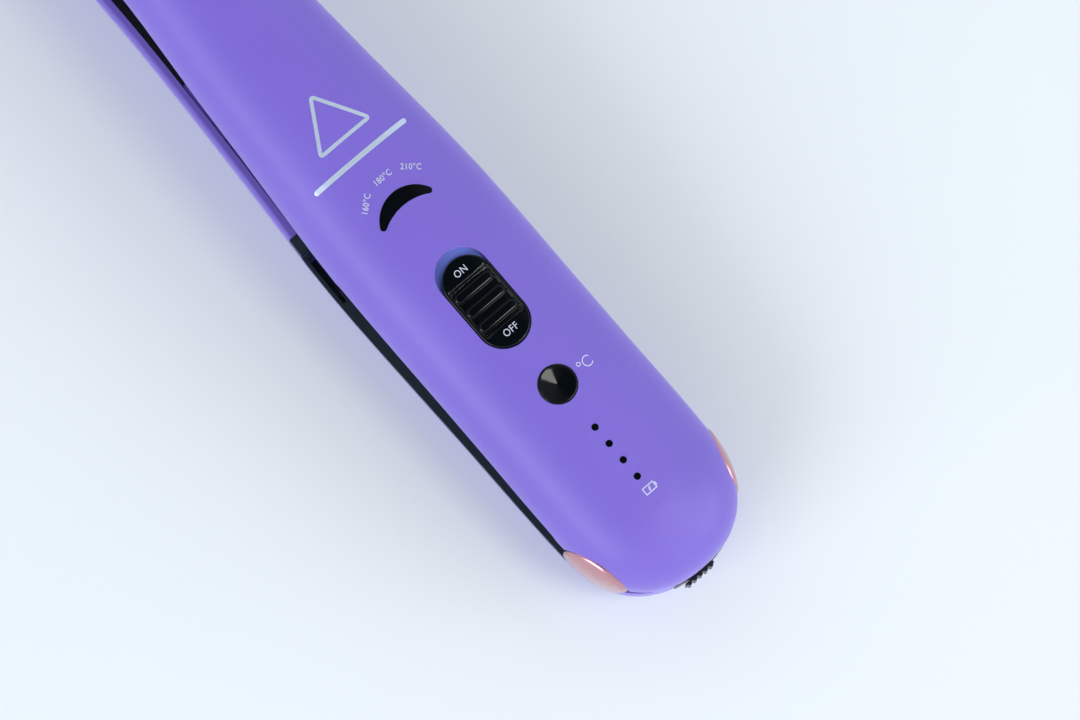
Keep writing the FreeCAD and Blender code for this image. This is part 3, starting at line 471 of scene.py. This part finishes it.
BAR_PLACES = (-3.75, 0.0, 3.75)
BAR_HALF_WIDTH = 1.05
BAR_HALF_LENGTH = 4.75
BAR_SUNK = 0.05                       # the bars end just below the knob's top
BAR_SQUARENESS = 5
BAR_FLATNESS = 4
DISH_DEPTH = 0.75
DISH_HALF_LENGTH = 5.9
DISH_HALF_WIDTH = 5.0
DISH_END_SLOPE = 0.45
DISH_SIDE_SLOPE = 0.35


def knob_height(x, y, inward):
    """Top of the slider knob; inward is the distance from its outline."""
    top = crown(y) + CONTROL_PROUD
    if inward < KNOB_EDGE_ROUND:
        top -= KNOB_EDGE_ROUND - math.sqrt(KNOB_EDGE_ROUND**2 - (KNOB_EDGE_ROUND - inward) ** 2)
    inside = ease(DISH_HALF_LENGTH - abs(x), DISH_END_SLOPE) * ease(DISH_HALF_WIDTH - abs(y), DISH_SIDE_SLOPE)
    floor = top - DISH_DEPTH * inside
    for place in BAR_PLACES:
        away = abs(x - place) / BAR_HALF_WIDTH
        beyond = max(0.0, abs(y) - BAR_HALF_LENGTH + BAR_HALF_WIDTH) / BAR_HALF_WIDTH
        reach = math.hypot(away, beyond)
        if reach < 1.0:
            swell = (1 - reach**BAR_SQUARENESS) ** (1 / BAR_FLATNESS)
            floor = max(floor, top - DISH_DEPTH + (DISH_DEPTH - BAR_SUNK) * swell)
    return floor


def stadium_ring(radius, straight_half, steps, turns):
    """Points round a stadium, evenly along its straight sides and round its ends."""
    points = [(straight_half * (2 * k / steps - 1), -radius) for k in range(steps)]
    points += [(straight_half + radius * math.sin(math.pi * k / turns),
                -radius * math.cos(math.pi * k / turns))
               for k in range(turns)]
    points += [(straight_half * (1 - 2 * k / steps), radius) for k in range(steps)]
    points += [(-straight_half - radius * math.sin(math.pi * k / turns),
                radius * math.cos(math.pi * k / turns))
               for k in range(turns)]
    return points


def power_slider():
    """Slider knob with a rounded edge, a dish and three grip bars; gives back the piece."""
    radius = KNOB_WIDTH / 2
    straight = KNOB_LENGTH / 2 - radius
    side_steps, end_steps = 84, 40
    edge_rings, inner_rings = 12, 34
    edge_share = 0.08                 # part of the radius that the finer edge rings take
    inner_share = 0.92
    insets = [radius * (1 - math.cos(math.pi / 2 * k / edge_rings)) * edge_share for k in range(edge_rings)]
    insets += [radius * (edge_share + inner_share * k / inner_rings) for k in range(inner_rings + 1)]
    rings = [[(x, y, KNOB_BOTTOM) for x, y in stadium_ring(radius, straight, side_steps, end_steps)]]
    for inset in insets:
        outline = stadium_ring(max(radius - inset, 1e-6), straight, side_steps, end_steps)
        rings.append([(x, y, knob_height(x, y, inset)) for x, y in outline])

    def build(form):
        placed = join_rings(form, [[ARM_TO_WORLD @ Vector((SWITCH_X + x, y, z)) for x, y, z in ring]
                                   for ring in rings])
        form.faces.new(list(reversed(placed[0])))

    piece = mesh_object("power_slider_knob", build, "black_gloss")
    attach(piece, "power_slider")
    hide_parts("power_slider")
    return piece


def recess_lining():
    """Thin glossy skin on the floor of the slider's recess, coloured with the purple floor's own colour plus
    a painted reflection of the bright surroundings, which makes it bluer.
    """
    radius = RECESS_WIDTH / 2 - PAINTED_REFLECTION_INSET
    straight = (RECESS_LENGTH - RECESS_WIDTH) / 2
    rings = [[(RECESS_X + x, y, z) for x, y in stadium_ring(radius, straight, 24, 24)]
             for z in (RECESS_FLOOR - PAINTED_REFLECTION_SUNK, RECESS_FLOOR + PAINTED_REFLECTION_PROUD)]

    def build(form):
        placed = join_rings(form, [[ARM_TO_WORLD @ Vector(point) for point in ring] for ring in rings])
        form.faces.new(placed[-1])
        form.faces.new(list(reversed(placed[0])))

    piece = mesh_object("switch_recess_painted_reflection", build, "recess_lining", smooth=False)
    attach(piece, "upper_arm")
    return piece


def turned(profile, x, steps=72):
    """Rings of a turned form on the arm's middle line at x; the profile is (radius, z) pairs."""
    return [[ARM_TO_WORLD @ Vector((*place, z)) for place in ring_points(x, 0.0, radius, steps)]
            for radius, z in profile]


def temp_button():
    """Round button whose face is a shallow hollow cone inside a narrow rounded rim."""
    top = CROWN_HEIGHT + CONTROL_PROUD
    rim_steps, cone_steps = 8, 10
    cone_radius = 3.4
    cone_edge = 0.07                  # depth at which the cone begins
    profile = [(BUTTON_RADIUS, BUTTON_BOTTOM), (BUTTON_RADIUS, top - BUTTON_RIM_ROUND)]
    for k in range(1, rim_steps + 1):
        angle = math.pi / 2 * k / rim_steps
        profile.append((BUTTON_RADIUS - BUTTON_RIM_ROUND * (1 - math.cos(angle)),
                        top - BUTTON_RIM_ROUND * (1 - math.sin(angle))))
    profile += [(3.62, top - 0.01), (3.5, top - 0.05)]
    for k in range(cone_steps + 1):
        depth = cone_edge + (BUTTON_DISH - cone_edge) * k / cone_steps
        profile.append((cone_radius * (1 - k / cone_steps) + 1e-6, top - depth))

    def build(form):
        placed = join_rings(form, turned(profile, BUTTON_X))
        form.faces.new(list(reversed(placed[0])))

    piece = mesh_object("temp_button_cap", build, "black_gloss")
    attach(piece, "temp_button")
    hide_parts("temp_button")
    return piece


# --- hinge caps ---------------------------------------------------------------------------------------

def hinge_cap(node, side):
    """Domed cap with a rounded edge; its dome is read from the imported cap."""
    tree = tree_of(node)
    outer = CAP_RADIUS - CAP_INSET
    circles = 22
    steps = 96

    def dome(radius, angle):
        x = radius * math.cos(angle)
        z = radius * math.sin(angle)
        start = HINGE + Vector((x, side * CAP_RAY_START, z)) * MM
        hit = tree.ray_cast(start, Vector((0, -side, 0)))[0]
        return x, z, side * hit.y / MM

    def build(form):
        rings = []
        for k in range(circles + 1):
            share = k / circles
            radius = max(outer * math.sin(math.pi / 2 * share), 1e-5)
            inward = outer - radius
            ring = []
            for step in range(steps):
                x, z, y = dome(radius, 2 * math.pi * step / steps)
                if inward < CAP_EDGE_ROUND:
                    y -= CAP_EDGE_ROUND - math.sqrt(CAP_EDGE_ROUND**2 - (CAP_EDGE_ROUND - inward) ** 2)
                height = max(y, CAP_INNER_Y + CAP_LEAST_HEIGHT)
                ring.append(HINGE + Vector((x, side * height, z)) * MM)
            rings.append(ring)
        inner = [Vector((p.x, side * CAP_INNER_Y * MM, p.z)) for p in rings[-1]]
        placed = join_rings(form, rings + [inner])
        form.faces.new(placed[-1])

    piece = mesh_object(node + "_dome", build, "rose_gold")
    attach(piece, "lower_arm")
    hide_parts(node)
    return piece


# --- stage --------------------------------------------------------------------------------------------

def paper():
    return surface("floor_paper", (0.83, 0.855, 0.862), 0.85, spread=0.012, patch=8.0, grain=900.0,
                   relief=0.02)


def add_floor():
    mesh = bpy.data.meshes.new("floor")
    form = bmesh.new()
    bmesh.ops.create_grid(form, x_segments=1, y_segments=1, size=FLOOR_HALF_SIZE)
    form.to_mesh(mesh)
    form.free()
    floor = bpy.data.objects.new("floor", mesh)
    floor.location.z = cad_box[0].z - FLOOR_DROP
    floor.data.materials.append(paper())
    bpy.context.scene.collection.objects.link(floor)


def aim(thing, place, target, roll=0.0):
    """Puts a camera or light at a place so that it looks at the target, rolled about its view."""
    back = (place - target).normalized()
    right = (-back).cross(Vector((0, 0, 1))).normalized()
    up = right.cross(-back)
    turned_right = right * math.cos(roll) + up * math.sin(roll)
    turned_up = up * math.cos(roll) - right * math.sin(roll)
    basis = Matrix((turned_right, turned_up, back)).transposed().to_4x4()
    thing.matrix_world = Matrix.Translation(place) @ basis


def direction(azimuth, elevation):
    a, e = math.radians(azimuth), math.radians(elevation)
    return Vector((math.cos(e) * math.cos(a), math.cos(e) * math.sin(a), math.sin(e)))


def add_camera():
    data = bpy.data.cameras.new("camera")
    data.sensor_width = 36.0
    data.lens = 155.75
    camera = bpy.data.objects.new("camera", data)
    bpy.context.scene.collection.objects.link(camera)
    target = Vector((0.0395, -0.0028, 0.0200))
    aim(camera, target + direction(133.28, 77.49) * 0.9469, target, math.radians(5.5))
    data.clip_start = 0.05
    data.clip_end = 30.0
    bpy.context.scene.camera = camera


def add_softbox(name, azimuth, elevation, distance, width, height, power, colour):
    data = bpy.data.lights.new(name, "AREA")
    data.shape = "RECTANGLE"
    data.size = width
    data.size_y = height
    data.energy = power
    data.color = colour
    lamp = bpy.data.objects.new(name, data)
    bpy.context.scene.collection.objects.link(lamp)
    target = Vector((0.06, 0.0, 0.02))
    aim(lamp, target + direction(azimuth, elevation) * distance, target)


def studio_world():
    """Pale walls all round under a dim ceiling."""
    world = bpy.data.worlds.new("studio")
    world.use_nodes = True
    tree = world.node_tree
    coordinates = tree.nodes.new("ShaderNodeTexCoord")
    parts = tree.nodes.new("ShaderNodeSeparateXYZ")
    ramp = tree.nodes.new("ShaderNodeValToRGB")
    stops = ramp.color_ramp
    stops.elements[0].position = 0.0
    stops.elements[0].color = WALL_COLOUR
    stops.elements[1].position = CEILING_START
    stops.elements[1].color = CEILING_COLOUR
    stops.elements.new(WALL_TOP).color = WALL_COLOUR
    tree.links.new(coordinates.outputs["Generated"], parts.inputs["Vector"])
    tree.links.new(parts.outputs["Z"], ramp.inputs["Fac"])
    background = tree.nodes["Background"]
    tree.links.new(ramp.outputs["Color"], background.inputs["Color"])
    background.inputs["Strength"].default_value = 1.0
    bpy.context.scene.world = world


def add_lights():
    studio_world()
    add_softbox("key", 205.0, 58.0, 1.3, 0.36, 0.36, 3.2, (1.0, 0.99, 0.92))
    add_softbox("fill", 95.0, 30.0, 1.5, 1.1, 0.7, 10.0, (0.95, 0.99, 1.0))
    add_softbox("rear_fill", 215.0, 24.0, 1.5, 1.2, 0.7, 7.0, (0.97, 1.0, 0.98))


finish_cad_nodes()
add_prints()
add_slider_prints(power_slider())
recess_lining()
temp_button()
hinge_cap("hinge_cap_left", 1)
hinge_cap("hinge_cap_right", -1)
add_floor()
add_camera()
add_lights()
bpy.context.scene.view_settings.view_transform = "Standard"
